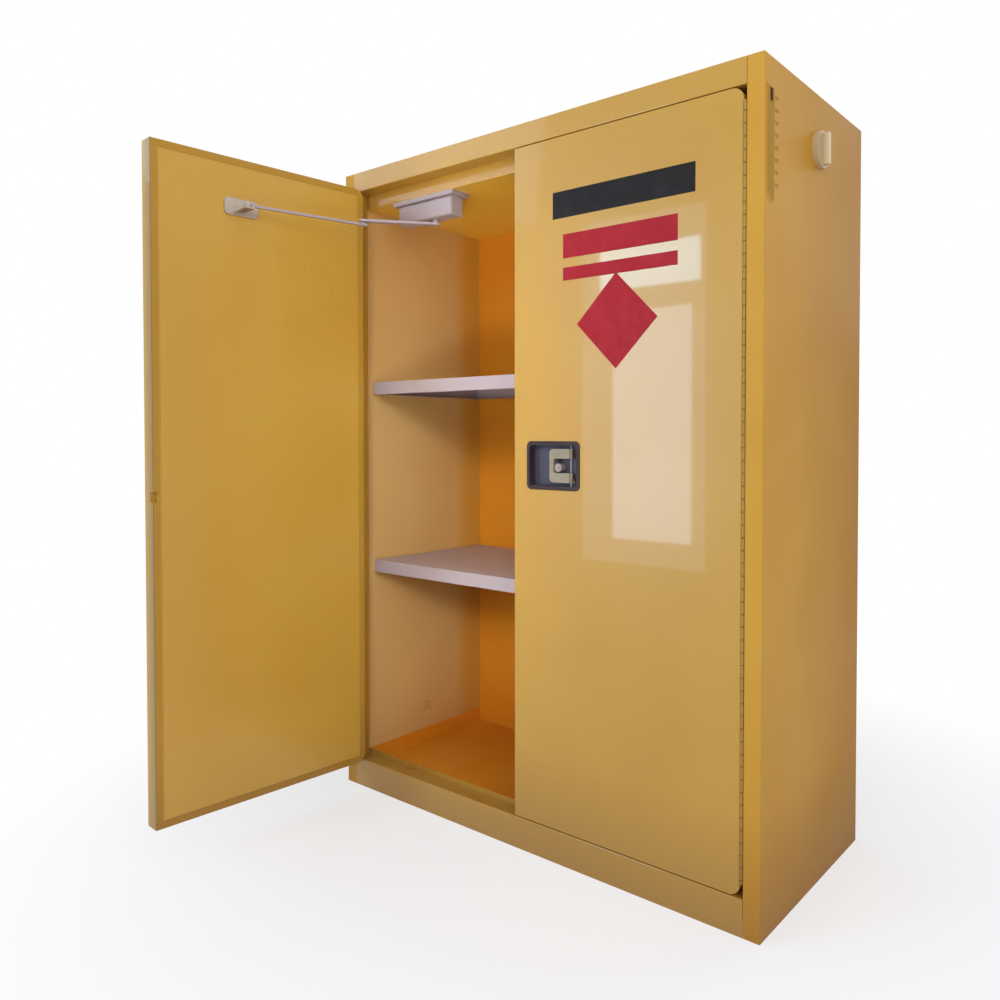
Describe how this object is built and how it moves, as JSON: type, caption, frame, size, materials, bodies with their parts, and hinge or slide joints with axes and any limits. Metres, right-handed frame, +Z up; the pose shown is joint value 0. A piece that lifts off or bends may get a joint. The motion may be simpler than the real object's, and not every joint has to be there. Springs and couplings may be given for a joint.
{
  "type": "safety storage cabinet",
  "caption": "Yellow double-walled steel safety storage cabinet with two hinged doors, overhead door closers, pull-paddle latch with key lock, shelves, sump tray, vents and levelling feet.",
  "frame": {"origin": "centre of the footprint on the floor plane, on the underside of the base stiffener", "axes": "+Z up, +X to the right as seen from the front, doors on the -Y side"},
  "size_m": [1.2506, 1.1161, 1.65],
  "materials": {
    "yellow": "gloss",
    "orange": "satin",
    "lilac": "satin",
    "zinc": "satin",
    "black": "matte",
    "nickel": "satin",
    "dark_steel": "satin",
    "cream": "satin",
    "rubber": "matte",
    "brass": "satin"
  },
  "bodies": {
    "cabinet": {"base_pan": "yellow", "base_stiffener": "yellow", "ceiling_liner": "orange", "earth_stud_and_nut": "brass", "foot_blocks": "zinc", "header_rail": "yellow", "left_closer_case": "lilac", "left_hinge_frame_leaf": "zinc", "left_hinge_pin": "zinc", "left_liner": "orange", "left_side_panel": "yellow", "lower_shelf": "lilac", "rear_liner": "orange", "rear_panel": "yellow", "right_closer_case": "lilac", "right_hinge_frame_leaf": "zinc", "right_hinge_pin": "zinc", "right_liner": "orange", "right_side_panel": "yellow", "rod_strikes": "zinc", "shelf_clips": "orange", "side_strip": "yellow", "sill_rail": "yellow", "sump_tray": "orange", "top_panel": "yellow", "upper_shelf": "lilac", "vent_flanges": "dark_steel", "vent_screens": "orange"},
    "left_door": {"left_door_skin": "yellow", "left_door_panel": "orange", "left_hinge_door_leaf": "zinc", "left_closer_shoe": "zinc", "left_door_keeper": "yellow"},
    "right_door": {"right_door_skin": "yellow", "right_door_panel": "orange", "right_hinge_door_leaf": "zinc", "right_closer_shoe": "zinc", "latch_dish": "black", "paddle_pin": "dark_steel", "lock_housing": "nickel", "latch_case": "zinc", "rod_guides": "zinc"},
    "paddle": {"paddle": "nickel"},
    "rocker": {"rocker": "zinc"},
    "tongue": {"latch_tongue": "zinc"},
    "key": {"key_plug": "nickel"},
    "upper_rod": {"upper_lock_rod": "zinc"},
    "lower_rod": {"lower_lock_rod": "zinc"},
    "left_main_arm": {"left_main_arm": "lilac"},
    "left_fore_arm": {"left_fore_arm": "zinc"},
    "right_main_arm": {"right_main_arm": "lilac"},
    "right_fore_arm": {"right_fore_arm": "zinc"},
    "right_vent_cap": {"right_vent_cap": "cream"},
    "left_vent_cap": {"left_vent_cap": "cream"},
    "front_left_foot": {"front_left_foot": "rubber"},
    "front_right_foot": {"front_right_foot": "rubber"},
    "rear_left_foot": {"rear_left_foot": "rubber"},
    "rear_right_foot": {"rear_right_foot": "rubber"}
  },
  "joints": [
    {"name": "left_door_swing", "type": "hinge", "parent": "cabinet", "child": "left_door", "pos_m": [-0.562, -0.265, 0.836], "axis": [0, 0, -1], "range_deg": [-94, 0]},
    {"name": "right_door_swing", "type": "hinge", "parent": "cabinet", "child": "right_door", "pos_m": [0.562, -0.265, 0.836], "axis": [0, 0, 1], "range_deg": [0, 94]},
    {"name": "paddle_pull", "type": "hinge", "parent": "right_door", "child": "paddle", "pos_m": [0.157, -0.257, 0.882], "axis": [0, 0, 1], "range_deg": [0, 30], "stiffness_Nm_per_rad": 0.5},
    {"name": "rocker_turn", "type": "hinge", "parent": "right_door", "child": "rocker", "pos_m": [0.152, -0.2385, 0.83136], "axis": [0, -1, 0], "range_deg": [0, 30]},
    {"name": "tongue_slide", "type": "slide", "parent": "right_door", "child": "tongue", "axis": [1, 0, 0], "range_m": [0, 0.01]},
    {"name": "key_turn", "type": "hinge", "parent": "right_door", "child": "key", "pos_m": [0.124, -0.255, 0.878], "axis": [0, -1, 0], "range_deg": [0, 90]},
    {"name": "upper_rod_slide", "type": "slide", "parent": "right_door", "child": "upper_rod", "axis": [0, 0, 1], "range_m": [0, 0.01414]},
    {"name": "lower_rod_slide", "type": "slide", "parent": "right_door", "child": "lower_rod", "axis": [0, 0, -1], "range_m": [0, 0.0142]},
    {"name": "left_main_arm_swing", "type": "hinge", "parent": "cabinet", "child": "left_main_arm", "pos_m": [-0.328, -0.19, 1.49], "axis": [0, 0, 1], "range_deg": [-78, 0]},
    {"name": "left_fore_arm_swing", "type": "hinge", "parent": "left_door", "child": "left_fore_arm", "pos_m": [-0.50889, -0.61937, 1.483], "axis": [0, 0, 1], "range_deg": [-7.5, 0]},
    {"name": "right_main_arm_swing", "type": "hinge", "parent": "cabinet", "child": "right_main_arm", "pos_m": [0.328, -0.19, 1.49], "axis": [0, 0, -1], "range_deg": [0, 78]},
    {"name": "right_fore_arm_swing", "type": "hinge", "parent": "right_door", "child": "right_fore_arm", "pos_m": [0.2122, -0.1873, 1.483], "axis": [0, 0, -1], "range_deg": [0, 7.5]},
    {"name": "right_vent_cap_turn", "type": "hinge", "parent": "cabinet", "child": "right_vent_cap", "pos_m": [0.6, -0.003, 1.536], "axis": [1, 0, 0], "range_deg": [0, 90]},
    {"name": "left_vent_cap_turn", "type": "hinge", "parent": "cabinet", "child": "left_vent_cap", "pos_m": [-0.6, -0.003, 0.15], "axis": [-1, 0, 0], "range_deg": [0, 90]},
    {"name": "front_left_foot_level", "type": "slide", "parent": "cabinet", "child": "front_left_foot", "axis": [0, 0, -1], "range_m": [0, 0.012]},
    {"name": "front_right_foot_level", "type": "slide", "parent": "cabinet", "child": "front_right_foot", "axis": [0, 0, -1], "range_m": [0, 0.012]},
    {"name": "rear_left_foot_level", "type": "slide", "parent": "cabinet", "child": "rear_left_foot", "axis": [0, 0, -1], "range_m": [0, 0.012]},
    {"name": "rear_right_foot_level", "type": "slide", "parent": "cabinet", "child": "rear_right_foot", "axis": [0, 0, -1], "range_m": [0, 0.012]}
  ],
  "couplings": [
    {"joint": "left_main_arm_swing", "follows": "left_door_swing", "ratio": 0.82572},
    {"joint": "left_fore_arm_swing", "follows": "left_door_swing", "ratio": 0.0768},
    {"joint": "right_main_arm_swing", "follows": "right_door_swing", "ratio": 0.82572},
    {"joint": "right_fore_arm_swing", "follows": "right_door_swing", "ratio": 0.0768},
    {"joint": "rocker_turn", "follows": "paddle_pull", "ratio": 1},
    {"joint": "tongue_slide", "follows": "paddle_pull", "m_per_rad": 0.019099},
    {"joint": "key_turn", "follows": "upper_rod_slide", "rad_per_m": 111.07},
    {"joint": "lower_rod_slide", "follows": "upper_rod_slide", "ratio": 1}
  ]
}
